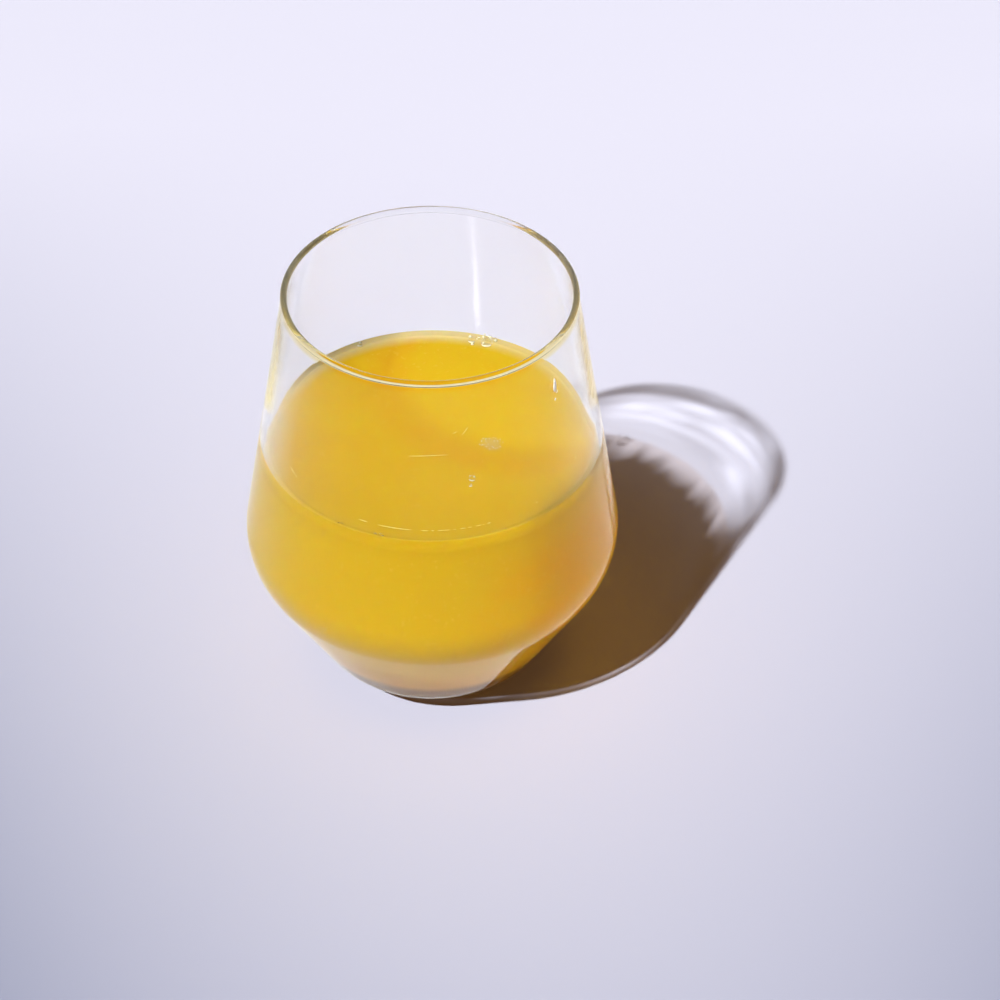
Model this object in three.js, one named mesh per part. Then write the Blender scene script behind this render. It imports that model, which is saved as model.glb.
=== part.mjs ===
// Stemless tumbler of orange juice: the blown glass and the juice that stands in it.
// Millimetres, +Z up. The origin is the middle of the flat that the glass stands on.
import * as THREE from "three";

// Driving dimensions of the glass, outside
const HEIGHT = 115;
const RIM_RADIUS = 35.6;
const FOOT_RADIUS = 25.8; // where the lower wall, carried on straight, meets the table
const FOOT_ROUNDING = 18.8;
const SHOULDER_RADIUS = 48.4; // where the two straight walls, carried on, meet each other
const SHOULDER_HEIGHT = 39.3;
const SHOULDER_ROUNDING = 19.1;

// Thickness of the glass
const UPPER_WALL = 1.6;
const LOWER_WALL = 2.2;
const FLOOR = 5;
const LIP_ROUNDING = 0.75; // on both edges of the rim
const INNER_SHOULDER_ROUNDING = 16;
const INNER_FOOT_ROUNDING = 16;

// The juice
const LEVEL = 70.7; // of its flat middle, above the table
const MENISCUS_RISE = 0.9; // how far it climbs the wall
const MENISCUS_WIDTH = 2.4;
const CLEARANCE = 0.3; // between the juice and the glass

// Fineness of the meshes
const SIDES = 72;
const ROUNDING_STEPS = 9;
const LIP_STEPS = 3;
const MENISCUS_STEPS = 4;

// A point of an outline: its distance from the axis and its height.
function point(radius, height) {
  return new THREE.Vector2(radius, height);
}

// The line through two points, moved to its left by a distance.
function moved(line, distance) {
  const [from, to] = line;
  const across = to.clone().sub(from).normalize().rotateAround(point(0, 0), Math.PI / 2);
  return line.map((end) => end.clone().addScaledVector(across, distance));
}

// The point where two lines meet.
function meeting([a, b], [c, d]) {
  const along = b.clone().sub(a);
  const other = d.clone().sub(c);
  const share = c.clone().sub(a).cross(other) / along.cross(other);
  return a.clone().addScaledVector(along, share);
}

// The arc that rounds the corner between the points before and after it.
function roundedCorner(before, corner, after, rounding, steps) {
  const back = before.clone().sub(corner).normalize();
  const ahead = after.clone().sub(corner).normalize();
  const halfAngle = Math.acos(back.dot(ahead)) / 2;
  const middle = back.clone().add(ahead).normalize();
  const centre = corner.clone().addScaledVector(middle, rounding / Math.sin(halfAngle));
  const start = corner.clone().addScaledVector(back, rounding / Math.tan(halfAngle));
  const turn = (Math.PI - 2 * halfAngle) * Math.sign(ahead.cross(back));
  const arc = [];
  for (let step = 0; step <= steps; step += 1) {
    arc.push(start.clone().rotateAround(centre, turn * (step / steps)));
  }
  return arc;
}

// An outline through corners [point, rounding, steps]; the first and last have no rounding.
function roundedOutline(corners) {
  const outline = [corners[0][0]];
  for (let index = 1; index < corners.length - 1; index += 1) {
    const [corner, rounding, steps] = corners[index];
    outline.push(...roundedCorner(corners[index - 1][0], corner, corners[index + 1][0], rounding, steps));
  }
  outline.push(corners[corners.length - 1][0]);
  return outline;
}

// Corners of the outer and inner faces, from the foot up
const foot = point(FOOT_RADIUS, 0);
const shoulder = point(SHOULDER_RADIUS, SHOULDER_HEIGHT);
const rim = point(RIM_RADIUS, HEIGHT);
const floorLine = [point(0, FLOOR), point(FOOT_RADIUS, FLOOR)];
const rimLine = [point(0, HEIGHT), rim];
const innerLower = moved([foot, shoulder], LOWER_WALL);
const innerUpper = moved([shoulder, rim], UPPER_WALL);
const innerFoot = meeting(innerLower, floorLine);
const innerShoulder = meeting(innerLower, innerUpper);
const innerRim = meeting(innerUpper, rimLine);

// A body of revolution from an outline that starts and ends on the axis.
function turned(name, outline, material) {
  const geometry = new THREE.LatheGeometry(outline, SIDES);
  geometry.rotateX(Math.PI / 2);
  const mesh = new THREE.Mesh(geometry, material);
  mesh.name = name;
  return mesh;
}

// The glass: up the outside, over the lip and down the inside.
function makeGlass() {
  const outline = roundedOutline([
    [point(0, 0)],
    [foot, FOOT_ROUNDING, ROUNDING_STEPS],
    [shoulder, SHOULDER_ROUNDING, ROUNDING_STEPS],
    [rim, LIP_ROUNDING, LIP_STEPS],
    [innerRim, LIP_ROUNDING, LIP_STEPS],
    [innerShoulder, INNER_SHOULDER_ROUNDING, ROUNDING_STEPS],
    [innerFoot, INNER_FOOT_ROUNDING, ROUNDING_STEPS],
    [point(0, FLOOR)],
  ]);
  const material = new THREE.MeshStandardMaterial({
    color: 0xf2f3ee,
    roughness: 0.03,
    metalness: 0,
    transparent: true,
    opacity: 0.35,
  });
  return turned("glass", outline, material);
}

// The juice: its outside follows the inside of the glass, and its top climbs the wall a little.
function makeJuice() {
  const lower = moved(innerLower, CLEARANCE);
  const upper = moved(innerUpper, CLEARANCE);
  const bottom = moved(floorLine, CLEARANCE);
  const contactLine = [point(0, LEVEL + MENISCUS_RISE), point(RIM_RADIUS, LEVEL + MENISCUS_RISE)];
  const contact = meeting(upper, contactLine);
  const outline = roundedOutline([
    [point(0, bottom[0].y)],
    [meeting(lower, bottom), INNER_FOOT_ROUNDING - CLEARANCE, ROUNDING_STEPS],
    [meeting(lower, upper), INNER_SHOULDER_ROUNDING - CLEARANCE, ROUNDING_STEPS],
    [contact],
  ]);
  for (let step = 1; step <= MENISCUS_STEPS; step += 1) {
    const share = step / MENISCUS_STEPS;
    const rise = MENISCUS_RISE * (1 - share) ** 2;
    outline.push(point(contact.x - MENISCUS_WIDTH * share, LEVEL + rise));
  }
  outline.push(point(0, LEVEL));
  const material = new THREE.MeshStandardMaterial({
    color: 0xe8a91c,
    roughness: 0.25,
    metalness: 0,
  });
  return turned("juice", outline, material);
}

const drink = new THREE.Group();
drink.add(makeGlass(), makeJuice());

export default drink;
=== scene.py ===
import math

import bpy
import numpy as np
from mathutils import Matrix, Vector


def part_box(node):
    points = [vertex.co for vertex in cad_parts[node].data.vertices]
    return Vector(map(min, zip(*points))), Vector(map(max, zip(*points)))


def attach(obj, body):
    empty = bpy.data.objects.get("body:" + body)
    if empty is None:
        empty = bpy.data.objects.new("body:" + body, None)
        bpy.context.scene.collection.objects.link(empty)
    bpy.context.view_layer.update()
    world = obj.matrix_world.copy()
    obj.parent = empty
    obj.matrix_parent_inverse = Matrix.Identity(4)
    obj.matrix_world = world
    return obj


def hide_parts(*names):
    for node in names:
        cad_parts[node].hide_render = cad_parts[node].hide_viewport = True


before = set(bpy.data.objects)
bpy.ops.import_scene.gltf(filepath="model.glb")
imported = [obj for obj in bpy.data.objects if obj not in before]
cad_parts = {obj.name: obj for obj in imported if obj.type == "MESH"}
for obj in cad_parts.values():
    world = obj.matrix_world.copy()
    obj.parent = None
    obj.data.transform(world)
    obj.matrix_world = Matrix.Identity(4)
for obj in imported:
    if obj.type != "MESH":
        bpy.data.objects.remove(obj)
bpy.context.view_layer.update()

# Driving dimensions, in metres; the outer form is that of the solids
MM = 0.001
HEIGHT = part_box("glass")[1].z
RIM_RADIUS = 35.6 * MM
FOOT_RADIUS = 25.8 * MM  # where the lower wall, carried on straight, meets the table
FOOT_ROUNDING = 18.8 * MM
SHOULDER_RADIUS = 48.4 * MM  # where the two straight walls, carried on, meet each other
SHOULDER_HEIGHT = 39.3 * MM
SHOULDER_ROUNDING = 19.1 * MM
UPPER_WALL = 1.6 * MM
LOWER_WALL = 2.2 * MM
FLOOR_THICKNESS = 5.0 * MM
INNER_ROUNDING = 16.0 * MM
LIP_WALL = 1.1 * MM  # the wall just below the rim, where it is thinnest
LIP_RADIUS = 0.84 * MM  # of the round bead that ends the wall
LIP_DEPTH = 3.5 * MM  # below the rim, where the lip's own outline starts
LIP_TAPER_HEIGHT = 84.0 * MM  # above this the wall gets thinner towards the rim
MENISCUS_RISE = 0.9 * MM
MENISCUS_WIDTH = 2.4 * MM
CONTACT_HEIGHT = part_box("juice")[1].z
LEVEL = CONTACT_HEIGHT - MENISCUS_RISE
REACH_INTO_WALL = 0.12 * MM
SURFACE_SLOT, EDGE_SLOT = 1, 2  # of the juice's materials
LEVEL_SLACK, CONTACT_SLACK = 0.01 * MM, 0.02 * MM  # for telling the faces of its surface
MATTE_EDGE = 1.3 * MM  # the outer part of the juice's surface, which has no gloss
RIM_SHADOW_CENTRE = (22.0 * MM, 22.0 * MM)  # of the painted shadow of the rim: a curl of deeper colour in the juice's surface
RIM_SHADOW_RADIUS = 34.5 * MM
FROTH_CENTRE = (15.0 * MM, -4.9 * MM)
FROTH_REACH = (3.1 * MM, 3.2 * MM)

# Fineness of the meshes
SIDES = 256
FOOT_STEPS = 24
SHOULDER_STEPS = 32
LIP_STEPS = 40
BEAD_STEPS = 60
LIP_SMOOTHING = 3
MENISCUS_STEPS = 16
WALL_STEP = 4 * MM
SURFACE_STEP = 3 * MM

# Colours
GLASS = (0.99, 0.995, 0.98, 1)
# painted highlight: a cream tint of the lip at the front, where the bright line along the rim shows
GLASS_LIP_HIGHLIGHT = (1.0, 0.9, 0.5, 1)
JUICE_IOR, GLASS_IOR, WATER_IOR = 1.34, 1.5, 1.33
BODY_YELLOW = (0.66, 0.435, 0.012, 1)
# painted shade: deeper orange where the juice's side is shaded, and its random drift
BODY_ORANGE_AND_SHADE = (0.72, 0.375, 0.005, 1)
# painted shade: darker just below the contact and at the foot
BODY_SHADE_BELOW_CONTACT = (0.3, 0.1, 0.01, 1)
BODY_FOOT_SHADE = (0.16, 0.06, 0.002, 1)
SURFACE_YELLOW = (0.73, 0.48, 0.008, 1)
# painted shadow of the rim on the surface, and its random drift
SURFACE_ORANGE_AND_SHADE = (0.73, 0.37, 0.006, 1)
SURFACE_OUTER = (0.2, 0.1, 0, 1)
# painted light: a lighter yellow at the front right of the surface
SURFACE_PAINTED_LIGHT = (1.0, 0.62, 0.0, 1)
PULP = (0.86, 0.62, 0.08, 1)
FROTH = (0.62, 0.46, 0.2, 1)
JUICE_FILM_AND_SHEEN = (0.74, 0.64, 0.35, 1)  # the thin edge of the juice at the wall, with a painted pale sheen over it
SUBSURFACE_RADIUS = (1.0, 0.75, 0.3)
SUBSURFACE_SCALES = (0.004, 0.0006)  # well inside the juice, and at its edge
WALL_SHEEN = (0.7, 0.7, 0.74, 1)  # what the wall mirrors of the juice's surface
BODY_SHEEN = (0.98, 0.8, 0.3, 1)  # what the wall mirrors of the juice's side
JUICE_CLEAR = (0.97, 0.93, 0.9, 1)
FLOOR_PAINT = ((1.0, -0.045), (0.95, 0.0), (0.95, 0.12))  # gain and lift of each colour
SKY = (0.86, 0.87, 1.0, 1)

# The photograph's view
FRAME_PIXELS = 1000
FOCAL_PIXELS = 2870
CAMERA_DISTANCE = 0.5555
CAMERA_HEIGHT = 0.5257
CAMERA_PITCH = math.radians(40.65)
CAMERA_YAW = math.radians(1.78)
CAMERA_ROLL = math.radians(-0.54)
SENSOR_MM = 36.0
CLIP_START, CLIP_END = 0.01, 20

# The light
SUN_DIRECTION = Vector((-0.432, -0.483, 0.761)).normalized()  # towards the key light
LIGHT_WAY = (0.67, 0.745)  # the way in which its light goes, seen from above


def make_camera():
    """The camera at the photograph's viewing angle, with its picture's centre on its axis."""
    forward = Vector((
        math.sin(CAMERA_YAW) * math.cos(CAMERA_PITCH),
        math.cos(CAMERA_YAW) * math.cos(CAMERA_PITCH),
        -math.sin(CAMERA_PITCH),
    ))
    right = Vector((math.cos(CAMERA_YAW), -math.sin(CAMERA_YAW), 0))
    down = forward.cross(right)
    turned_right = right * math.cos(CAMERA_ROLL) + down * math.sin(CAMERA_ROLL)
    turned_down = down * math.cos(CAMERA_ROLL) - right * math.sin(CAMERA_ROLL)
    data = bpy.data.cameras.new("camera")
    data.sensor_width = SENSOR_MM
    data.lens = FOCAL_PIXELS / FRAME_PIXELS * SENSOR_MM
    data.clip_start = CLIP_START
    data.clip_end = CLIP_END
    camera = bpy.data.objects.new("camera", data)
    aim = Matrix((turned_right, -turned_down, -forward)).transposed().to_4x4()
    camera.matrix_world = Matrix.Translation((0, -CAMERA_DISTANCE, CAMERA_HEIGHT)) @ aim
    bpy.context.collection.objects.link(camera)
    bpy.context.scene.camera = camera


# Outlines: points are (radius, height) pairs

def moved(line, distance):
    """A line through two points, moved to its left."""
    start, end = (np.array(p, float) for p in line)
    along = (end - start) / np.linalg.norm(end - start)
    across = np.array((-along[1], along[0])) * distance
    return start + across, end + across


def meeting(line, other):
    """The point where two lines meet."""
    (a, b), (c, d) = line, other
    share = np.linalg.solve(np.array([b - a, c - d]).T, c - a)[0]
    return a + share * (b - a)


def level_line(height):
    """A level line across the outline's plane."""
    return np.array((0.0, height)), np.array((RIM_RADIUS, height))


def at_height(line, height):
    """The point of a line at a height."""
    return meeting(line, level_line(height))


def arc(before, corner, after, rounding, steps):
    """The arc that rounds a corner."""
    back = (before - corner) / np.linalg.norm(before - corner)
    ahead = (after - corner) / np.linalg.norm(after - corner)
    half = math.acos(back @ ahead) / 2
    middle = (back + ahead) / np.linalg.norm(back + ahead)
    centre = corner + middle * rounding / math.sin(half)
    start = corner + back * rounding / math.tan(half) - centre
    turn = (math.pi - 2 * half) * np.sign(ahead[0] * back[1] - ahead[1] * back[0])
    angles = turn * np.linspace(0, 1, steps + 1)
    cos, sin = np.cos(angles), np.sin(angles)
    return centre + np.stack([start[0] * cos - start[1] * sin, start[0] * sin + start[1] * cos], 1)


def rounded(corners):
    """An outline through corners (point, rounding, steps); the first and last stay as they are."""
    points = [np.array(c[0], float) for c in corners]
    outline = [points[0][None]]
    for i in range(1, len(corners) - 1):
        outline.append(arc(points[i - 1], points[i], points[i + 1], *corners[i][1:]))
    outline.append(points[-1][None])
    return np.concatenate(outline)


def divided(outline, longest):
    """The outline with its long stretches divided, so that the faces stay compact."""
    points = [outline[0]]
    for start, end in zip(outline[:-1], outline[1:]):
        count = max(1, math.ceil(np.linalg.norm(end - start) / longest))
        points.extend(start + (end - start) * k / count for k in range(1, count + 1))
    return np.array(points)


foot = np.array((FOOT_RADIUS, 0))
shoulder = np.array((SHOULDER_RADIUS, SHOULDER_HEIGHT))
rim = np.array((RIM_RADIUS, HEIGHT))
wall_way = (rim - shoulder) / np.linalg.norm(rim - shoulder)  # up along the upper wall
inner_lower = moved((foot, shoulder), LOWER_WALL)
inner_upper = moved((shoulder, rim), UPPER_WALL)
juice_side = moved(inner_upper, -REACH_INTO_WALL)
contact = meeting(juice_side, level_line(CONTACT_HEIGHT))


# Meshes

def new_piece(name, points, faces, smooth, material):
    """An object with a mesh of its own."""
    mesh = bpy.data.meshes.new(name)
    mesh.from_pydata(points, [], faces)
    mesh.polygons.foreach_set("use_smooth", smooth)
    mesh.materials.append(material)
    piece = bpy.data.objects.new(name, mesh)
    bpy.context.collection.objects.link(piece)
    return piece


def revolve(name, outline, material):
    """A closed smooth body of revolution from an outline that starts and ends on the axis."""
    rings = outline[1:-1]
    angles = np.linspace(0, 2 * math.pi, SIDES, endpoint=False)
    shape = np.stack([
        rings[:, :1] * np.cos(angles), rings[:, :1] * np.sin(angles), np.repeat(rings[:, 1:], SIDES, 1),
    ], 2)
    points = [tuple(p) for p in shape.reshape(-1, 3)] + [(0, 0, outline[0][1]), (0, 0, outline[-1][1])]
    first, last = len(points) - 2, len(points) - 1
    faces = []
    for ring in range(len(rings) - 1):
        low, high = ring * SIDES, (ring + 1) * SIDES
        for k in range(SIDES):
            after = (k + 1) % SIDES
            faces.append((low + k, low + after, high + after, high + k))
    top = (len(rings) - 1) * SIDES
    for k in range(SIDES):
        after = (k + 1) % SIDES
        faces.append((first, after, k))
        faces.append((last, top + k, top + after))
    return new_piece(name, points, faces, [True] * len(faces), material)


# Nodes of the materials

def feed(material, socket, value):
    """Gives a socket its value, or links another node's output to it."""
    if isinstance(value, bpy.types.NodeSocket):
        material.node_tree.links.new(value, socket)
    else:
        socket.default_value = value


def add_node(material, kind, inputs=(), **settings):
    """A new node; its inputs go by name or number."""
    node = material.node_tree.nodes.new(kind)
    for name, value in settings.items():
        setattr(node, name, value)
    for name, value in dict(inputs).items():
        feed(material, node.inputs[name], value)
    return node


def new_material(name):
    """An empty node material."""
    material = bpy.data.materials.new(name)
    material.use_nodes = True
    material.node_tree.nodes.clear()
    return material


def show(material, shader):
    """Puts a shader on the material's surface."""
    add_node(material, "ShaderNodeOutputMaterial", {"Surface": shader})
    return material


def calculate(material, operation, *values):
    """The output of a Math node; a value is a number or another node's output."""
    node = add_node(material, "ShaderNodeMath", enumerate(values), operation=operation)
    return node.outputs["Value"]


def ramp(material, value, start, end, first=0.0, last=1.0, shape="SMOOTHSTEP"):
    """A value taken from one range to another, and held at its ends."""
    inputs = {"Value": value, "From Min": start, "From Max": end, "To Min": first, "To Max": last}
    node = add_node(material, "ShaderNodeMapRange", inputs, interpolation_type=shape)
    return node.outputs["Result"]


def noise(material, place, scale, detail=2.0, distortion=0.0):
    """Noise of a scale per metre."""
    inputs = {"Vector": place, "Scale": scale, "Detail": detail, "Distortion": distortion}
    return add_node(material, "ShaderNodeTexNoise", inputs).outputs["Fac"]


def bumps(material, height, strength, distance, inputs=()):
    """The normal of an uneven surface."""
    inputs = {"Height": height, "Strength": strength, "Distance": distance, **dict(inputs)}
    return add_node(material, "ShaderNodeBump", inputs).outputs["Normal"]


def fixed_normal(material, direction):
    """A normal that is the same all over."""
    node = add_node(material, "ShaderNodeNormal")
    node.outputs["Normal"].default_value = direction
    return node.outputs["Normal"]


def blend(material, share, first, second):
    """A colour between two; each is a colour or another node's output."""
    node = add_node(material, "ShaderNodeMix", {0: share}, data_type="RGBA", clamp_factor=True)
    sockets = [socket for socket in node.inputs if socket.type == "RGBA"]
    for socket, colour in zip(sockets, (first, second)):
        feed(material, socket, colour)
    return next(socket for socket in node.outputs if socket.type == "RGBA")


def mix_shaders(material, share, first, second):
    """The output of a Mix Shader."""
    inputs = enumerate((share, first, second))
    return add_node(material, "ShaderNodeMixShader", inputs).outputs["Shader"]


def add_shaders(material, first, second):
    """The output of an Add Shader."""
    return add_node(material, "ShaderNodeAddShader", enumerate((first, second))).outputs["Shader"]


def simple_shader(material, kind, inputs):
    """The output of a shader node."""
    return add_node(material, "ShaderNodeBsdf" + kind, inputs).outputs["BSDF"]


def vector_math(material, operation, first, second):
    """The vector of a Vector Math node."""
    node = add_node(material, "ShaderNodeVectorMath", enumerate((first, second)), operation=operation)
    return node.outputs["Vector"]


def object_place(material):
    """The place of a point on the part."""
    return add_node(material, "ShaderNodeTexCoord").outputs["Object"]


def axes(material, place):
    """The three parts of a place."""
    node = add_node(material, "ShaderNodeSeparateXYZ", {"Vector": place})
    return node.outputs["X"], node.outputs["Y"], node.outputs["Z"]


def level_distance(material, x, y):
    """The length of a level step."""
    square = calculate(material, "MULTIPLY_ADD", y, y, calculate(material, "MULTIPLY", x, x))
    return calculate(material, "SQRT", square)


def way_beyond(material, x, y):
    """How far a place lies past the axis, the way in which the key light goes."""
    forth = calculate(material, "MULTIPLY", y, LIGHT_WAY[1])
    return calculate(material, "MULTIPLY_ADD", x, LIGHT_WAY[0], forth)


# Looks

# A range is (from, to, value at its start, value at its end), and noise is (scale, detail, distortion).

# painted highlight: where the lip is tinted cream, high on the wall and at the front
LIP_HIGHLIGHT_HEIGHT = (HEIGHT - 3.2 * MM, HEIGHT - 2.4 * MM)
LIP_HIGHLIGHT_FRONT = (-10 * MM, 18 * MM, 1.0, 0.0)
GLASS_SPECULAR = (0.4, 0.4, 0.4, 1)
GLASS_WAVES = 60
GLASS_BUMPS = (0.05, 0.5 * MM)  # strength and depth
PASSING_BY_FACING = (0.6, 1.0, 0.94, 0.4, "LINEAR")
PASSING_AT_FOOT = (8 * MM, 20 * MM, 0.35, 1.0, "LINEAR")
SWIRL_STRETCH = (0.4, 0.4, 2.2)
SWIRL_NOISE = (60, 3, 1.2)
SWIRL_LIGHT = (0.35, 0.7, -0.1, 0.24)
RIM_BAND = (HEIGHT - 10 * MM, HEIGHT - 7 * MM)
RIM_BAND_SHADE = -0.3
EMPTY_PART = (74 * MM, 84 * MM)
GLASS_FAR_SIDE = (5 * MM, 20 * MM)
OUTLINE_BY_FACING = (0.6, 0.9)
OUTLINE_BY_HEIGHT = (70 * MM, 80 * MM, 0.85, 0.0)

DRIFT_NOISE = (45, 3, 0.6)
DRIFT_MIDDLE = 0.5  # of the noise that the drift is made of
DRIFT_DEPTH = 0.5  # how far drift changes the colour
SPECK_NOISE = (900, 3)
SPECK_SHARE = (0.58, 0.75, 0.0, 0.22)
# painted shadow of the rim on the juice's surface
RIM_SHADOW_DRIFT = 9 * MM
RIM_SHADOW_BAND = (0.5 * MM, 10 * MM, 0.5, 0.0)
RIM_SHADOW_OUTSIDE = (RIM_SHADOW_RADIUS - 8 * MM, RIM_SHADOW_RADIUS + 4 * MM, 0.05, 0.2)
OUTER_SHADE = (20 * MM, 40 * MM, 0.0, 0.08)
FROTH_NOISE = (500, 3)
FROTH_UNEVENNESS = 1.2
FROTH_FADE = (0.9, 1.7, 0.45, 0.0)
# the film at the wall, with a painted pale sheen
FILM_SHEEN_BY_RADIUS = (36.3 * MM, 41.6 * MM)
FILM_SHEEN_BEHIND = (-5 * MM, 25 * MM, 0.03, 0.9)
FILM_SHEEN_RIGHT = (0.0, 35 * MM, 1.0, 0.6)
FILM_SHEEN_LEFT = (-41 * MM, -33.5 * MM, 0.6, 0.0)
# painted light at the front right of the surface
PAINTED_LIGHT_RIGHT = (27 * MM, 38 * MM)
PAINTED_LIGHT_FRONT = (-12 * MM, 6 * MM, 0.35, 0.0)
SURFACE_SPREAD = (36.5 * MM, 40.5 * MM, *SUBSURFACE_SCALES)

BODY_DRIFT = 24 * MM
# painted shade on the juice's side: deeper orange towards the right, low down and behind
BODY_SHADE_RIGHT = (4 * MM, 36 * MM)
BODY_SHADE_UPPER = (55 * MM, 72 * MM, 1.0, 0.25)
BODY_SHADE_LOWER = (12 * MM, 34 * MM, 0.9, 0.0)
BODY_SHADE_BEHIND = (0.0, 30 * MM, 0.0, 0.8)
CONTACT_SHADE = (65 * MM, 70.5 * MM, 0.0, 0.14)
FOOT_SHADE = (11 * MM, 16 * MM, 0.75, 0.0)
BODY_SPREAD = (66 * MM, 70.5 * MM, *SUBSURFACE_SCALES)

JUICE_ROUGHNESS = 0.06
SURFACE_SPECULAR = 0.5
JUICE_WAVES = 260
JUICE_BUMPS = (0.04, 0.3 * MM)
MIRROR_ROUGHNESS = 0.04
MIRROR_NOISE = (320, 3)
MIRROR_BUMPS = (0.5, 0.09 * MM)
SURFACE_CLEARNESS = (-20 * MM, 0.0)
STREAK_STRETCH = (1, 1, 0.12)
STREAK_NOISE = (120, 2, 0.5)
STREAK_SHIFT = (0.3, 0.7, -5 * MM, 2 * MM)
CLEAR_EDGE = (53 * MM, 72 * MM, 0.0, 0.95)
CLEAR_SIDE = (25 * MM, 66 * MM, 0.0, 0.05)
JUICE_FAR_SIDE = (5 * MM, 15 * MM)

FILM_ROUGHNESS = 0.12
FILM_SHARE = (0.3, 0.7, 0.8, 1.4)
FILM_LIMIT = 0.22
WET_SHARE = (0.35, 0.65)
WET_ROUGHNESS = 0.18
# froth, with painted glints
FROTH_AND_GLINT_COLOURS = ((0.97, 0.93, 0.75, 1), (0.95, 0.85, 0.5, 1))
# painted highlight along the drop's edge
DROP_HIGHLIGHT_COLOURS = ((0.98, 0.95, 0.85, 1), (0.95, 0.9, 0.75, 1))
PULP_BIT_COLOURS = ((0.42, 0.26, 0.05, 1), (0.6, 0.42, 0.1, 1))
# painted glints on the ripples
RIPPLE_GLINT_COLOURS = ((1.0, 0.93, 0.25, 1), (1.0, 0.8, 0.12, 1))
# painted highlight: the drop's pale colour
DROPLET_HIGHLIGHT = (0.95, 0.93, 0.95, 1)
DROPLET_SHARE = (0.3, 0.7, 0.4, 0.85)
WATER = (1, 1, 1, 1)
WATER_ROUGHNESS = 0.02
WATER_BUMPS = (0.1, 0.2 * MM)
FINE_NOISE, WET_NOISE, WATER_NOISE = 900, 700, 1500

FLOOR_DEPTHS = (-0.2, 0.25)  # how far from the axis the floor's lightness changes, in front and behind
FLOOR_LIGHTNESS = (0.737, 0.79, -1.363)  # at the axis, and its change with depth and with depth squared
FLOOR_FALLOFF = (8.37, -32.44)  # of lightness with the squared distance aside, and its change with depth
FLOOR_MIDDLE = 0.0255  # right of the axis, where the floor is lightest
FLOOR_ASIDE_LIMIT = 0.04  # of the squared distance
FLOOR_DARKEST = 0.3
FLOOR_MIRRORED = (-0.2, 0.0, 0.3, 0.85, "LINEAR")


def glass_light(material, place, height, beyond):
    """The share of the lamps' light that one face of the glass lets through."""
    facing = add_node(material, "ShaderNodeLayerWeight", {"Blend": 0.5}).outputs["Facing"]
    swirls = noise(material, vector_math(material, "MULTIPLY", place, SWIRL_STRETCH), *SWIRL_NOISE)
    swirls = ramp(material, swirls, *SWIRL_LIGHT)
    rim_band = ramp(material, height, *RIM_BAND)
    swirls = calculate(material, "MULTIPLY_ADD", rim_band, RIM_BAND_SHADE, swirls)
    far_side = ramp(material, beyond, *GLASS_FAR_SIDE)
    empty_part = calculate(material, "MULTIPLY", ramp(material, height, *EMPTY_PART), far_side)
    light = calculate(material, "MULTIPLY_ADD", swirls, empty_part, 1.0)
    light = calculate(material, "MULTIPLY", light, ramp(material, height, *PASSING_AT_FOOT))
    outline = ramp(material, height, *OUTLINE_BY_HEIGHT)
    outline = calculate(material, "MULTIPLY", ramp(material, facing, *OUTLINE_BY_FACING), outline)
    light = calculate(material, "MULTIPLY", light, calculate(material, "SUBTRACT", 1.0, outline))
    return calculate(material, "MULTIPLY", ramp(material, facing, *PASSING_BY_FACING), light)


def glass_material():
    """Clear glass that lets lamps through, slightly uneven as blown glass is."""
    material = new_material("clear_glass")
    place = object_place(material)
    x, y, height = axes(material, place)
    # painted highlight: the lip is tinted cream at the front, for the bright line along the rim
    lip = ramp(material, height, *LIP_HIGHLIGHT_HEIGHT)
    lip = calculate(material, "MULTIPLY", lip, ramp(material, y, *LIP_HIGHLIGHT_FRONT))
    shader = simple_shader(material, "Principled", {
        "Base Color": blend(material, lip, GLASS, GLASS_LIP_HIGHLIGHT),
        "Specular Tint": GLASS_SPECULAR,
        "Roughness": 0.0,
        "IOR": GLASS_IOR,
        "Transmission Weight": 1,
        "Normal": bumps(material, noise(material, place, GLASS_WAVES), *GLASS_BUMPS),
    })
    light = glass_light(material, place, height, way_beyond(material, x, y))
    clear = simple_shader(material, "Transparent", {"Color": light})
    rays = add_node(material, "ShaderNodeLightPath").outputs
    for kind in ("Is Diffuse Ray", "Is Shadow Ray"):
        shader = mix_shaders(material, rays[kind], shader, clear)
    return show(material, shader)


def with_pulp(material, place, colour):
    """A colour with fine specks of pulp."""
    specks = ramp(material, noise(material, place, *SPECK_NOISE), *SPECK_SHARE)
    return blend(material, specks, colour, PULP)


def rim_shadow_depth(material, x, y, drift):
    """Painted shadow of the rim on the surface: the colour is deepest along the rim's shadow line, more
    outside it than inside, and drifts at random.
    """
    aside = calculate(material, "SUBTRACT", x, RIM_SHADOW_CENTRE[0])
    ahead = calculate(material, "SUBTRACT", y, RIM_SHADOW_CENTRE[1])
    away = calculate(material, "MULTIPLY_ADD", drift, RIM_SHADOW_DRIFT, level_distance(material, aside, ahead))
    band = calculate(material, "ABSOLUTE", calculate(material, "SUBTRACT", away, RIM_SHADOW_RADIUS))
    outside = ramp(material, away, *RIM_SHADOW_OUTSIDE)
    deep = calculate(material, "MAXIMUM", ramp(material, band, *RIM_SHADOW_BAND), outside)
    return calculate(material, "MULTIPLY_ADD", drift, DRIFT_DEPTH, deep)


def froth_share(material, place):
    """The uneven patch of fine froth."""
    patch = vector_math(material, "SUBTRACT", place, (*FROTH_CENTRE, LEVEL))
    patch = vector_math(material, "MULTIPLY", patch, (1 / FROTH_REACH[0], 1 / FROTH_REACH[1], 1))
    reach = add_node(material, "ShaderNodeVectorMath", {0: patch}, operation="LENGTH").outputs["Value"]
    grain = noise(material, place, *FROTH_NOISE)
    reach = calculate(material, "MULTIPLY_ADD", grain, FROTH_UNEVENNESS, reach)
    return ramp(material, reach, *FROTH_FADE)


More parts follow.
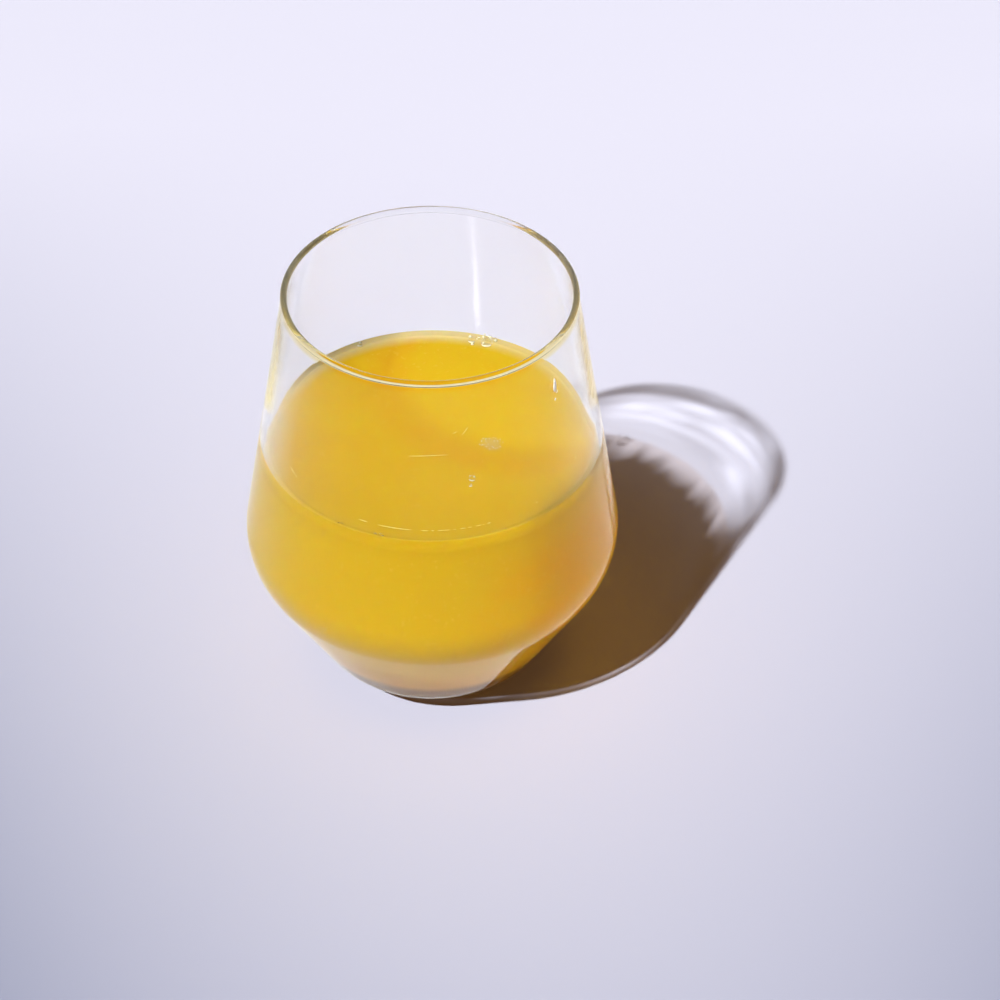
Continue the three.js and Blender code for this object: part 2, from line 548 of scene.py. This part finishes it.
def film_and_sheen_share(material, x, y, radius):
    """The pale film at the wall with a painted sheen over it, which shows most at the back and on the left.
    """
    film = ramp(material, radius, *FILM_SHEEN_BY_RADIUS)
    film = calculate(material, "MULTIPLY", film, ramp(material, y, *FILM_SHEEN_BEHIND))
    film = calculate(material, "MULTIPLY", film, ramp(material, x, *FILM_SHEEN_RIGHT))
    return calculate(material, "MAXIMUM", film, ramp(material, x, *FILM_SHEEN_LEFT))


def surface_colour(material, place, x, y, drift):
    """The colour of the juice's surface, and how far light spreads in it."""
    # deeper orange: painted shadow of the rim, and random drift
    deep = rim_shadow_depth(material, x, y, drift)
    radius = level_distance(material, x, y)
    colour = with_pulp(material, place, blend(material, deep, SURFACE_YELLOW, SURFACE_ORANGE_AND_SHADE))
    colour = blend(material, ramp(material, radius, *OUTER_SHADE), colour, SURFACE_OUTER)
    colour = blend(material, froth_share(material, place), colour, FROTH)
    # the pale film at the wall, partly painted sheen
    colour = blend(material, film_and_sheen_share(material, x, y, radius), colour, JUICE_FILM_AND_SHEEN)
    # painted light: the front right of the surface is made lighter and yellower
    painted_light = ramp(material, y, *PAINTED_LIGHT_FRONT)
    painted_light = calculate(material, "MULTIPLY", ramp(material, x, *PAINTED_LIGHT_RIGHT), painted_light)
    colour = blend(material, painted_light, colour, SURFACE_PAINTED_LIGHT)
    return colour, ramp(material, radius, *SURFACE_SPREAD)


def body_colour(material, place, x, y, z, drift):
    """The colour of the juice's side, with painted shade, and how far light spreads in it."""
    # painted shade: deeper orange towards the shaded right, less so high up, and low down and behind
    right = calculate(material, "MULTIPLY_ADD", drift, BODY_DRIFT, x)
    right = ramp(material, right, *BODY_SHADE_RIGHT)
    deep = calculate(material, "MULTIPLY", right, ramp(material, z, *BODY_SHADE_UPPER))
    deep = calculate(material, "MAXIMUM", deep, ramp(material, z, *BODY_SHADE_LOWER))
    deep = calculate(material, "MAXIMUM", deep, ramp(material, y, *BODY_SHADE_BEHIND))
    deep = calculate(material, "MULTIPLY_ADD", drift, DRIFT_DEPTH, deep)
    colour = with_pulp(material, place, blend(material, deep, BODY_YELLOW, BODY_ORANGE_AND_SHADE))
    # painted shade: darker just below the contact and at the foot
    colour = blend(material, ramp(material, z, *CONTACT_SHADE), colour, BODY_SHADE_BELOW_CONTACT)
    colour = blend(material, ramp(material, z, *FOOT_SHADE), colour, BODY_FOOT_SHADE)
    return colour, ramp(material, z, *BODY_SPREAD)


def mirrored_surface(material, place, rays, plain):
    """The surface as the wall mirrors it: a pale sheen, and the light that the surface itself mirrors."""
    waves = bumps(material, noise(material, place, *MIRROR_NOISE), *MIRROR_BUMPS)
    gloss = simple_shader(material, "Glossy", {"Roughness": MIRROR_ROUGHNESS, "Normal": waves})
    sheen = simple_shader(material, "Diffuse", {"Color": WALL_SHEEN})
    return mix_shaders(material, rays["Is Reflection Ray"], plain, add_shaders(material, gloss, sheen))


def mirrored_body(material, rays, plain):
    """The side as light in the wall meets it: a mirror where the light comes in low enough."""
    sheen = simple_shader(material, "Diffuse", {"Color": BODY_SHEEN})
    mirror = simple_shader(material, "Glossy", {"Roughness": 0.0})
    low = add_node(material, "ShaderNodeFresnel", {"IOR": JUICE_IOR / GLASS_IOR}).outputs["Fac"]
    mirrored = mix_shaders(material, rays["Is Reflection Ray"], plain, sheen)
    return mix_shaders(material, low, mirrored, mirror)


def side_clearness(material, place, z, beyond):
    """The share of light that leaves the juice on its far side, in upright streaks near its edge."""
    upright = vector_math(material, "MULTIPLY", place, STREAK_STRETCH)
    streaks = ramp(material, noise(material, upright, *STREAK_NOISE), *STREAK_SHIFT)
    clearness = ramp(material, calculate(material, "ADD", z, streaks), *CLEAR_EDGE)
    clearness = calculate(material, "ADD", clearness, ramp(material, z, *CLEAR_SIDE))
    return calculate(material, "MULTIPLY", clearness, ramp(material, beyond, *JUICE_FAR_SIDE))


def juice_material(name, specular=0.0, top=True, level=False):
    """Cloudy orange juice with fine pulp; a level one is lit as if it lay flat."""
    material = new_material(name)
    place = object_place(material)
    x, y, z = axes(material, place)
    beyond = way_beyond(material, x, y)
    drift = calculate(material, "SUBTRACT", noise(material, place, *DRIFT_NOISE), DRIFT_MIDDLE)
    if top:
        colour, spread = surface_colour(material, place, x, y, drift)
    else:
        colour, spread = body_colour(material, place, x, y, z, drift)
    flat = {"Normal": fixed_normal(material, (0, 0, 1))} if level else {}
    plain = simple_shader(material, "Principled", {
        "Base Color": colour,
        "Normal": bumps(material, noise(material, place, JUICE_WAVES), *JUICE_BUMPS, flat),
        "Roughness": JUICE_ROUGHNESS,
        "IOR": JUICE_IOR,
        "Specular IOR Level": specular,
        "Subsurface Weight": 1,
        "Subsurface Radius": SUBSURFACE_RADIUS,
        "Subsurface Scale": spread,
    })
    rays = add_node(material, "ShaderNodeLightPath").outputs
    if top:
        mirrored = mirrored_surface(material, place, rays, plain)
        clearness = ramp(material, beyond, *SURFACE_CLEARNESS)
    else:
        mirrored = mirrored_body(material, rays, plain)
        clearness = side_clearness(material, place, z, beyond)
    seen = mix_shaders(material, rays["Is Glossy Ray"], plain, mirrored)
    clear = simple_shader(material, "Transparent", {"Color": JUICE_CLEAR})
    clearness = calculate(material, "MULTIPLY", clearness, rays["Is Shadow Ray"])
    return show(material, mix_shaders(material, clearness, seen, clear))


def floor_lightness(material, x, y):
    """Painted light falloff: the floor gets lighter towards the back, and darker towards the sides at the
    front.
    """
    level, slope, bend = FLOOR_LIGHTNESS
    falloff_level, falloff_slope = FLOOR_FALLOFF
    depth = calculate(material, "MAXIMUM", y, FLOOR_DEPTHS[0])
    depth = calculate(material, "MINIMUM", depth, FLOOR_DEPTHS[1])
    aside = calculate(material, "SUBTRACT", x, FLOOR_MIDDLE)
    aside = calculate(material, "MULTIPLY", aside, aside)
    aside = calculate(material, "MINIMUM", aside, FLOOR_ASIDE_LIMIT)
    lightness = calculate(material, "MULTIPLY_ADD", depth, bend, slope)
    lightness = calculate(material, "MULTIPLY_ADD", depth, lightness, level)
    falloff = calculate(material, "MULTIPLY_ADD", depth, falloff_slope, falloff_level)
    falloff = calculate(material, "MULTIPLY", calculate(material, "MAXIMUM", falloff, 0.0), aside)
    lightness = calculate(material, "SUBTRACT", lightness, falloff)
    return calculate(material, "MAXIMUM", lightness, FLOOR_DARKEST)


def floor_material():
    """Pale paint, dimmer in mirrored light."""
    material = new_material("studio_floor")
    x, y, _ = axes(material, object_place(material))
    lightness = floor_lightness(material, x, y)
    channels = [calculate(material, "MULTIPLY_ADD", lightness, gain, lift) for gain, lift in FLOOR_PAINT]
    paint = add_node(material, "ShaderNodeCombineColor", enumerate(channels)).outputs["Color"]
    rays = add_node(material, "ShaderNodeLightPath").outputs
    mirrored = calculate(material, "MULTIPLY", rays["Is Glossy Ray"], rays["Is Reflection Ray"])
    plain = simple_shader(material, "Diffuse", {"Color": paint})
    dimmed = simple_shader(material, "Diffuse", {"Color": ramp(material, y, *FLOOR_MIRRORED)})
    return show(material, mix_shaders(material, mirrored, plain, dimmed))


def film_material():
    """The thin clear film of a bubble, which shows only where it mirrors."""
    material = new_material("bubble_film")
    uneven = ramp(material, noise(material, object_place(material), FINE_NOISE), *FILM_SHARE)
    share = add_node(material, "ShaderNodeFresnel", {"IOR": GLASS_IOR}).outputs["Fac"]
    share = calculate(material, "MULTIPLY", share, uneven)
    share = calculate(material, "MINIMUM", share, FILM_LIMIT)
    clear = simple_shader(material, "Transparent", {})
    gloss = simple_shader(material, "Glossy", {"Roughness": FILM_ROUGHNESS})
    return show(material, mix_shaders(material, share, clear, gloss))


def wet_material(name, colours):
    """Small ridges and beads in the given colours: pulp, froth, and pale painted highlights."""
    material = new_material(name)
    share = ramp(material, noise(material, object_place(material), WET_NOISE), *WET_SHARE)
    return show(material, simple_shader(material, "Principled", {
        "Base Color": blend(material, share, *colours),
        "Roughness": WET_ROUGHNESS,
        "IOR": JUICE_IOR,
    }))


def droplet_material():
    """A half clear drop, painted pale as a highlight and lit on both faces as if it faced the key light."""
    material = new_material("droplet")
    share = ramp(material, noise(material, object_place(material), FINE_NOISE), *DROPLET_SHARE)
    # painted light: the normal faces the key light, so the drop is lit all over
    inputs = {"Color": DROPLET_HIGHLIGHT, "Normal": fixed_normal(material, SUN_DIRECTION)}
    lit = simple_shader(material, "Diffuse", inputs)
    pale = add_shaders(material, lit, simple_shader(material, "Translucent", inputs))
    return show(material, mix_shaders(material, share, simple_shader(material, "Transparent", {}), pale))


def water_material():
    """Clear water."""
    material = new_material("water")
    ripples = noise(material, object_place(material), WATER_NOISE)
    return show(material, simple_shader(material, "Principled", {
        "Base Color": WATER,
        "Roughness": WATER_ROUGHNESS,
        "IOR": WATER_IOR,
        "Transmission Weight": 1,
        "Normal": bumps(material, ripples, *WATER_BUMPS),
    }))


# The glass and the juice

def lip_outline():
    """The top of the wall, from its outside to its inside: a small bead that the fire has rounded."""
    outside = (shoulder, rim)
    inside = moved(outside, LIP_WALL)
    height = HEIGHT - LIP_RADIUS
    centre = (at_height(outside, height) + at_height(inside, height)) / 2
    start = at_height(outside, HEIGHT - LIP_DEPTH)
    end = at_height(inside, HEIGHT - LIP_DEPTH)
    out = np.array((wall_way[1], -wall_way[0]))
    neck = math.asin(LIP_WALL / 2 / LIP_RADIUS)
    angles = np.linspace(math.pi - neck, neck - math.pi, BEAD_STEPS)
    bead = centre + LIP_RADIUS * (np.cos(angles)[:, None] * wall_way + np.sin(angles)[:, None] * out)
    steps = np.linspace(0, 1, LIP_STEPS)[:, None]
    up = start + (bead[0] - start) * steps
    down = bead[-1] + (end - bead[-1]) * steps
    outline = np.concatenate([up, bead[1:-1], down])
    for _ in range(LIP_SMOOTHING):
        outline[1:-1] = outline[:-2] / 4 + outline[1:-1] / 2 + outline[2:] / 4
    return outline


def make_glass():
    """The blown glass: up the outside, over the lip and down the inside."""
    outside = rounded([
        ((0, 0),),
        (foot, FOOT_ROUNDING, FOOT_STEPS),
        (shoulder, SHOULDER_ROUNDING, SHOULDER_STEPS),
        (rim,),
    ])[:-1]
    inside = rounded([
        (at_height(inner_upper, LIP_TAPER_HEIGHT),),
        (meeting(inner_lower, inner_upper), INNER_ROUNDING, SHOULDER_STEPS),
        (meeting(inner_lower, level_line(FLOOR_THICKNESS)), INNER_ROUNDING, FOOT_STEPS),
        ((0, FLOOR_THICKNESS),),
    ])
    lip = lip_outline()
    outside = divided(np.concatenate([outside, lip[:1]]), WALL_STEP)
    inside = divided(np.concatenate([lip[-1:], inside]), WALL_STEP)
    glass = revolve("tumbler_glass", np.concatenate([outside, lip[1:-1], inside]), glass_material())
    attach(glass, "root")
    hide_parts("glass")


def make_juice():
    """The juice, which reaches just into the wall so that no air shows between them."""
    lower = moved(inner_lower, -REACH_INTO_WALL)
    bottom = FLOOR_THICKNESS - REACH_INTO_WALL
    rounding = INNER_ROUNDING + REACH_INTO_WALL
    outline = divided(rounded([
        ((0, bottom),),
        (meeting(lower, level_line(bottom)), rounding, FOOT_STEPS),
        (meeting(lower, juice_side), rounding, SHOULDER_STEPS),
        (contact,),
    ]), WALL_STEP)
    share = np.linspace(0, 1, MENISCUS_STEPS + 1)[1:]
    rise = MENISCUS_RISE * (1 - share) ** 2
    meniscus = np.stack([contact[0] - MENISCUS_WIDTH * share, LEVEL + rise], 1)
    top = divided(np.array([meniscus[-1], (0, LEVEL)]), SURFACE_STEP)
    outline = np.concatenate([outline, meniscus, top[1:]])
    juice = revolve("orange_juice", outline, juice_material("juice_body", top=False))
    juice.data.materials.append(juice_material("juice_surface", SURFACE_SPECULAR))
    juice.data.materials.append(juice_material("juice_edge", level=True))
    for face in juice.data.polygons:
        reach = math.hypot(*face.center[:2])
        if face.center.z > LEVEL - LEVEL_SLACK and reach < contact[0] - CONTACT_SLACK:
            face.material_index = SURFACE_SLOT if reach < contact[0] - MATTE_EDGE else EDGE_SLOT
    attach(juice, "root")
    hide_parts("juice")
    return juice


# Small things on and in the drink; their lists are in millimetres and degrees

BUBBLES = (  # right of the axis, behind it, radius
    (14.6, 36.9, 1.55), (10.7, 38.1, 1.0), (15.5, 38.8, 0.55), (16.8, 37.6, 0.6), (12.6, 38.9, 0.4),
    (-18.3, 36.2, 0.75), (9.8, -17.6, 0.85), (9.4, -20.0, 0.5),
)
BEADS = (  # of froth beside the bubbles, pale as painted glints: right of the axis, behind it, radius
    (10.3, 39.2, 0.42), (10.8, 36.4, 0.42), (13.7, 36.9, 0.34), (13.7, 38.7, 0.3), (14.3, 39.9, 0.3),
    (15.1, 38.5, 0.26), (15.6, 38.1, 0.38), (16.9, 37.2, 0.44), (12.1, 38.3, 0.2), (-18.3, 36.6, 0.4),
    (10.3, -17.0, 0.28), (9.3, -16.7, 0.18), (9.5, -20.0, 0.2),
)
RING_GLINTS = (  # start and end of each painted glint, from the front
    (-29, -25), (-21, -7.8), (-4.4, -1.6), (-0.5, 0.6), (1.8, 6.6), (7.8, 8.8), (10.2, 12.5), (13.2, 14.9),
    (16.4, 18.6), (19.1, 19.8), (20.9, 22.4), (-71, -66), (-65, -64.2), (43, 44), (74, 76),
)
RIPPLES = (  # both ends of thin ripples on the surface, painted bright as glints
    ((-6.0, -9.0), (4.2, -8.7)), ((7.6, -1.2), (9.2, 1.9)), ((5.3, -0.6), (6.5, 0.3)),
)
PULP_BITS = (  # angle from the front, height, half width, half length
    (-19.2, 72.3, 0.45, 0.2), (-17.4, 72.5, 0.3, 0.16), (-16.6, 72.1, 0.42, 0.18), (-32.6, 72.2, 0.4, 0.16),
    (-31.2, 72.4, 0.24, 0.14), (24.6, 72.2, 0.25, 0.14),
)
WALL_DROPS = (  # angle from the front, height, half width, half length, thickness
    (51.4, 104.2, 0.6, 1.9, 0.3), (50.6, 100.6, 0.2, 0.3, 0.2),
)
WATER_TRAILS = ((-79, 103, 110), (-81.5, 104, 111), (78, 104, 112), (80.5, 103, 109))  # angle, foot and head
RING_GLINT_RADIUS = 36.4 * MM
RIDGE_RADIUS = 0.1 * MM
RIPPLE_RADIUS = 0.09 * MM
RIPPLE_SAG = 0.15 * MM
RIPPLE_STEPS = 16
TRAIL_RADIUS = 0.13 * MM
TRAIL_WOBBLE = 0.35 * MM
TRAIL_TURNS = 9  # radians of wobble along a trail
TRAIL_STEPS = 24
PULP_THICKNESS = 0.16
FROTH_SEED = 4
FROTH_COUNT = 46
FROTH_RADII = (0.08, 0.22)
FROTH_BEAD_FROM = 0.15  # a froth bubble larger than this has a bright bead in it, a painted glint
FROTH_BEAD_SIZE = (0.55, 0.6)  # radius and height, as shares of its bubble
SUNK = 0.02 * MM  # how deep small things stand in what they lie on
SUNK_DEEPER = 0.03 * MM  # for bubbles and drops
BUBBLE_RISE = 0.85  # height over radius
BEAD_RISE = 1.1
BUBBLE_RIM_TURNS = (-62, 48, 25)  # start, end and steps of the painted highlight along the lower rim, from the front
BUBBLE_RIM_HEIGHT = 0.08 * MM
BUBBLE_RIM_SHARE = 0.14  # of the bubble's radius, besides the least radius
BUBBLE_RIM_LEAST = 0.05 * MM
CRESCENT_TURNS = (-35, 80, 16)  # start, end and steps of the drop's painted highlight along its edge, from its lower end
CRESCENT_RADIUS = 0.55 * MM
CRESCENT_CENTRE = -1.45 * MM  # along the wall, from the drop's middle
CRESCENT_LIFT = 0.2 * MM
DROP_NARROWING = 0.35
DROP_CROOK = (0.25, 2.4)  # share of the width, and how often it turns
TUBE_TIP = 0.03  # radians short of the point where a ridge tapers to nothing
DOME_TIP = 0.06  # radians short of the pole, so that the top ring has some width
RING_STEPS = (6, 2)  # at least, and for each degree
BEAD_FINENESS = (14, 6)  # sides and rings
FROTH_FINENESS = (10, 5)
FROTH_BEAD_FINENESS = (8, 4)
DROP_FINENESS = (28, 9)


def tube(path, radius, sides=8):
    """Points and faces of a thin ridge along a path, tapered to its ends."""
    path = np.array(path, float)
    along = np.gradient(path, axis=0)
    along /= np.linalg.norm(along, axis=1)[:, None]
    across = np.cross(along, (0, 0, 1.0))
    across /= np.linalg.norm(across, axis=1)[:, None]
    third = np.cross(along, across)
    taper = radius * np.sqrt(np.sin(np.linspace(TUBE_TIP, math.pi - TUBE_TIP, len(path))))
    angles = np.linspace(0, 2 * math.pi, sides, endpoint=False)
    rings = path[:, None] + taper[:, None, None] * (
        np.cos(angles)[None, :, None] * across[:, None] + np.sin(angles)[None, :, None] * third[:, None])
    return rings.reshape(-1, 3), tube_faces(len(path), sides)


def tube_faces(count, sides):
    """Faces that join rings one after another, with closed ends."""
    faces = []
    for low in range(0, (count - 1) * sides, sides):
        high = low + sides
        faces += [(low + k, low + (k + 1) % sides, high + (k + 1) % sides, high + k) for k in range(sides)]
    return faces + [tuple(range(sides))[::-1], tuple((count - 1) * sides + k for k in range(sides))]


def dome(centre, radius, height, sides=24, rings=9):
    """Points and faces of half an ellipsoid with a flat base."""
    x, y, z = centre
    points = []
    for up in np.linspace(0, math.pi / 2 - DOME_TIP, rings):
        reach = radius * math.cos(up)
        for a in np.linspace(0, 2 * math.pi, sides, endpoint=False):
            points.append((x + reach * math.cos(a), y + reach * math.sin(a), z + height * math.sin(up)))
    return np.array(points), tube_faces(rings, sides)


def small_things(name, parts, material):
    """One piece of many small closed bodies."""
    points, faces = [], []
    for body, sides in parts:
        start = len(points)
        points.extend(tuple(p) for p in body)
        faces.extend(tuple(start + k for k in face) for face in sides)
    piece = new_piece(name, points, faces, [len(f) == 4 for f in faces], material)
    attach(piece, "root")


def surface_height(radius):
    """The height of the juice's surface at a distance from the axis."""
    share = min(1, max(0, (contact[0] - radius) / MENISCUS_WIDTH))
    return LEVEL + MENISCUS_RISE * (1 - share) ** 2


def on_wall(points, angle, height, inside=False):
    """Points drawn flat (across, along, out) laid on the wall at an angle from the front and a height."""
    radius, _ = at_height(inner_upper if inside else (shoulder, rim), height)
    turn = math.radians(angle)
    forth = np.array((math.sin(turn), -math.cos(turn), 0))
    across = np.array((math.cos(turn), math.sin(turn), 0))
    along = forth * wall_way[0] + np.array((0, 0, wall_way[1]))
    out = (forth * wall_way[1] - np.array((0, 0, wall_way[0]))) * (-1 if inside else 1)
    points = np.array(points, float)
    curl = points[:, :1] ** 2 / (2 * radius) * (1 if inside else -1)
    place = forth * radius + np.array((0, 0, height))
    return place + points[:, :1] * across + points[:, 1:2] * along + (points[:, 2:] + curl) * out


def drop(angle, height, width, length, thickness, inside=False):
    """A drop on the wall, fuller at its lower end and a little crooked; sizes in millimetres."""
    points, faces = dome((0, 0, 0), 1.0, 1.0, *DROP_FINENESS)
    crook, turns = DROP_CROOK
    points[:, 0] *= width * MM * (1 - DROP_NARROWING * points[:, 1])
    points[:, 0] += crook * width * MM * np.sin(points[:, 1] * turns)
    points[:, 1] *= length * MM
    points[:, 2] = points[:, 2] * (thickness * MM) - SUNK_DEEPER
    if inside:
        faces = [face[::-1] for face in faces]
    return on_wall(points, angle, height * MM, inside), faces


def make_bubbles():
    """Bubbles with painted highlights along their lower rim, froth beads with painted glints beside them,
    and a patch of fine froth.
    """
    random = np.random.default_rng(FROTH_SEED)
    domes, highlight_rims = [], []
    for right, behind, size in BUBBLES:
        x, y, size = right * MM, behind * MM, size * MM
        base = surface_height(math.hypot(x, y)) - SUNK_DEEPER
        domes.append(dome((x, y, base), size, size * BUBBLE_RISE))
        turns = np.radians(np.linspace(*BUBBLE_RIM_TURNS))
        height = base + BUBBLE_RIM_HEIGHT
        rim_path = [(x + size * math.sin(t), y - size * math.cos(t), height) for t in turns]
        highlight_rims.append(tube(rim_path, BUBBLE_RIM_SHARE * size + BUBBLE_RIM_LEAST))
    beads = []
    for right, behind, size in BEADS:
        x, y = right * MM, behind * MM
        base = surface_height(math.hypot(x, y)) - SUNK
        beads.append(dome((x, y, base), size * MM, size * BEAD_RISE * MM, *BEAD_FINENESS))
    for _ in range(FROTH_COUNT):
        turn, reach = random.uniform(0, 2 * math.pi), math.sqrt(random.uniform(0, 1))
        x = FROTH_CENTRE[0] + FROTH_REACH[0] * reach * math.cos(turn)
        y = FROTH_CENTRE[1] + FROTH_REACH[1] * reach * math.sin(turn)
        size = random.uniform(*FROTH_RADII) * MM
        domes.append(dome((x, y, LEVEL - SUNK), size, size, *FROTH_FINENESS))
        if size > FROTH_BEAD_FROM * MM:
            sizes = [size * share for share in FROTH_BEAD_SIZE]
            beads.append(dome((x, y, LEVEL - SUNK / 2), *sizes, *FROTH_BEAD_FINENESS))
    small_things("bubbles", domes, film_material())
    # pale beads and rim highlights: froth and painted glints
    froth = wet_material("froth", FROTH_AND_GLINT_COLOURS)
    small_things("froth_beads_and_glints", highlight_rims + beads, froth)


def make_drops():
    """A drop painted pale, with a painted highlight along its lower edge, on the outside of the wall, and
    thin trails of water.
    """
    drops = [drop(*sizes) for sizes in WALL_DROPS]
    small_things("wall_droplet", drops, droplet_material())
    angle, height = WALL_DROPS[0][:2]
    turns = np.radians(np.linspace(*CRESCENT_TURNS))
    across = CRESCENT_RADIUS * np.sin(turns)
    along = CRESCENT_CENTRE - CRESCENT_RADIUS * np.cos(turns)
    crescent = np.stack([across, along, np.full(len(turns), CRESCENT_LIFT)], 1)
    edge = tube(on_wall(crescent, angle, height * MM), TRAIL_RADIUS)
    # painted highlight: a pale ridge along the drop's lower edge
    bright = wet_material("drop_highlight", DROP_HIGHLIGHT_COLOURS)
    small_things("droplet_highlight", [edge], bright)
    trails = []
    for angle, low, high in WATER_TRAILS:
        share = np.linspace(0, 1, TRAIL_STEPS)
        wobble = TRAIL_WOBBLE * np.sin(share * TRAIL_TURNS + angle)
        path = np.stack([wobble, (high - low) * share * MM, np.zeros(TRAIL_STEPS)], 1)
        trails.append(tube(on_wall(path, angle, low * MM), TRAIL_RADIUS))
    small_things("wall_drops", trails, water_material())


def make_pulp():
    """Bits of pulp on the inside of the wall."""
    bits = [drop(*sizes, PULP_THICKNESS, True) for sizes in PULP_BITS]
    small_things("pulp_bits", bits, wet_material("pulp", PULP_BIT_COLOURS))


def make_ripples():
    """Painted glints: the broken bright line just inside the wall, and short bright ripples on the surface.
    """
    height = LEVEL + SUNK
    ridges = []
    for start, end in RING_GLINTS:
        steps = max(RING_STEPS[0], round((end - start) * RING_STEPS[1]))
        turns = np.radians(np.linspace(start, end, steps))
        ring = [(RING_GLINT_RADIUS * math.sin(t), -RING_GLINT_RADIUS * math.cos(t), height) for t in turns]
        ridges.append(tube(ring, RIDGE_RADIUS))
    for start, end in RIPPLES:
        share = np.linspace(0, 1, RIPPLE_STEPS)[:, None]
        flat = (np.array(start) + (np.array(end) - np.array(start)) * share) * MM
        sag = RIPPLE_SAG * np.sin(share[:, 0] * math.pi)
        ridges.append(tube([(x, y - s, height) for (x, y), s in zip(flat, sag)], RIPPLE_RADIUS))
    # painted glints: ridges coloured brighter than the juice
    bright = wet_material("ripple_glint", RIPPLE_GLINT_COLOURS)
    small_things("juice_ripples", ridges, bright)


# The studio

FLOOR_CORNERS = ((-4.0, -4.0), (4.0, -4.0), (4.0, 4.0), (-4.0, 4.0))
FLOOR_HEIGHT = -0.2 * MM
BOUNCES = 48
CLEAR_BOUNCES = 16
SKY_STRENGTHS = (0.035, 0.2)  # in plain light, and in mirrored light
KEY_LIGHT = (SUN_DIRECTION, 4.2, 1.0, (0.94, 0.96, 1.0))  # direction, strength, angle and colour
WARM_LIGHT = ((0, 0, 1), 0.25, 20.0, (1, 0.42, 0.05))
RIGHT_LIGHT = ((1, -0.2, 0.3), 2.45, 90.0, (1, 0.88, 0.8))
LOW_LIGHT = ((0.0, -1, -1.2), 0.8, 40.0, (1, 0.62, 0.2))
BACK_LIGHT = ((0.0, 1, -0.45), 1.5, 60.0, (1, 0.8, 0.45))
GLINT_LIGHT = ((-0.384, -0.448, 0.807), 0.22, 3.6, (1, 1, 1))


def make_lamp(name, direction, energy, angle, colour, only=None, shadow=True):
    """A distant lamp, kept to some of the objects where these are given."""
    data = bpy.data.lights.new(name, "SUN")
    data.energy = energy
    data.angle = math.radians(angle)
    data.color = colour
    data.use_shadow = shadow
    lamp = bpy.data.objects.new(name, data)
    lamp.rotation_mode = "QUATERNION"
    lamp.rotation_quaternion = Vector(direction).to_track_quat("Z", "Y")
    bpy.context.collection.objects.link(lamp)
    if only:
        group = bpy.data.collections.new(name + "_receivers")
        group.objects.link(only)
        lamp.light_linking.receiver_collection = group
    return lamp


def make_lamps(floor, juice):
    """A key light from the front left, a warm one on the floor, soft ones around the juice and a small one
    that the juice mirrors onto the back wall."""
    make_lamp("key", *KEY_LIGHT)
    make_lamp("warm", *WARM_LIGHT, floor, shadow=False)
    right = make_lamp("juice_right", *RIGHT_LIGHT, juice)
    low = make_lamp("juice_low", *LOW_LIGHT, juice, shadow=False)
    back = make_lamp("juice_back", *BACK_LIGHT, juice, shadow=False)
    for lamp in (right, low, back):
        lamp.visible_glossy = False
    glint = make_lamp("glint", *GLINT_LIGHT, juice)
    glint.visible_diffuse = False


def make_floor():
    """A pale floor just under the glass."""
    corners = [(x, y, 0) for x, y in FLOOR_CORNERS]
    floor = new_piece("studio_floor", corners, [(0, 1, 2, 3)], [False], floor_material())
    floor.location.z = FLOOR_HEIGHT
    return floor


def make_world():
    """A faint pale sky, brighter in mirrored light."""
    world = bpy.data.worlds.new("studio")
    world.use_nodes = True
    back = world.node_tree.nodes["Background"]
    mirrored = add_node(world, "ShaderNodeLightPath").outputs["Is Glossy Ray"]
    feed(world, back.inputs["Color"], SKY)
    strength = ramp(world, mirrored, 0.0, 1.0, *SKY_STRENGTHS, "LINEAR")
    feed(world, back.inputs["Strength"], strength)
    bpy.context.scene.world = world


def set_up_render():
    """Plain colours, and light paths long enough for the glass."""
    settings = bpy.context.scene.view_settings
    settings.view_transform = "Standard"
    settings.look = "None"
    cycles = bpy.context.scene.cycles
    cycles.use_light_tree = False
    cycles.max_bounces = BOUNCES
    cycles.transmission_bounces = BOUNCES
    cycles.glossy_bounces = BOUNCES
    cycles.transparent_max_bounces = CLEAR_BOUNCES


make_camera()
make_glass()
juice = make_juice()
floor = make_floor()
make_lamps(floor, juice)
make_world()
set_up_render()
make_bubbles()
make_drops()
make_pulp()
make_ripples()
